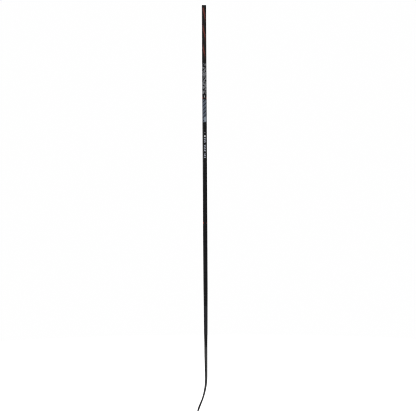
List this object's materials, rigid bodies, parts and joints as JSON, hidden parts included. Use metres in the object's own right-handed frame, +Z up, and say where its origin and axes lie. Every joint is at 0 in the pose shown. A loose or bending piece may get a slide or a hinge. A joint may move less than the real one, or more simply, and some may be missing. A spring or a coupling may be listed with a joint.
{
  "type": "ice hockey stick",
  "caption": "Left-hand ice hockey stick: a straight hollow composite shaft with a bonded, curved blade at the bottom and a cap in the butt end.",
  "frame": {"origin": "middle of the flat top face of the butt end cap; the stick hangs below it", "axes": "+Z up along the shaft towards the butt end, +X towards the blade's toe, +Y towards the backhand side, so the forehand side and the hooked toe lie towards -Y"},
  "size_m": [0.2445, 0.0487, 1.7188],
  "materials": {
    "cap_plastic": "satin",
    "shaft_carbon": "satin",
    "wrap_carbon": "matte",
    "blade_carbon": "satin",
    "tenon_carbon": "matte",
    "foam": "matte",
    "adhesive": "satin"
  },
  "bodies": {
    "root": {"butt_end_cap": "cap_plastic", "shaft_tube": "shaft_carbon", "adhesive_dam": "foam", "tenon_adhesive": "adhesive", "tenon": "tenon_carbon", "tenon_core": "foam", "joint_wrap": "wrap_carbon", "forehand_skin": "blade_carbon", "backhand_skin": "blade_carbon", "hosel_core": "foam", "lower_foam_core": "foam", "blade_rib": "tenon_carbon", "upper_foam_core": "foam"}
  },
  "joints": []
}
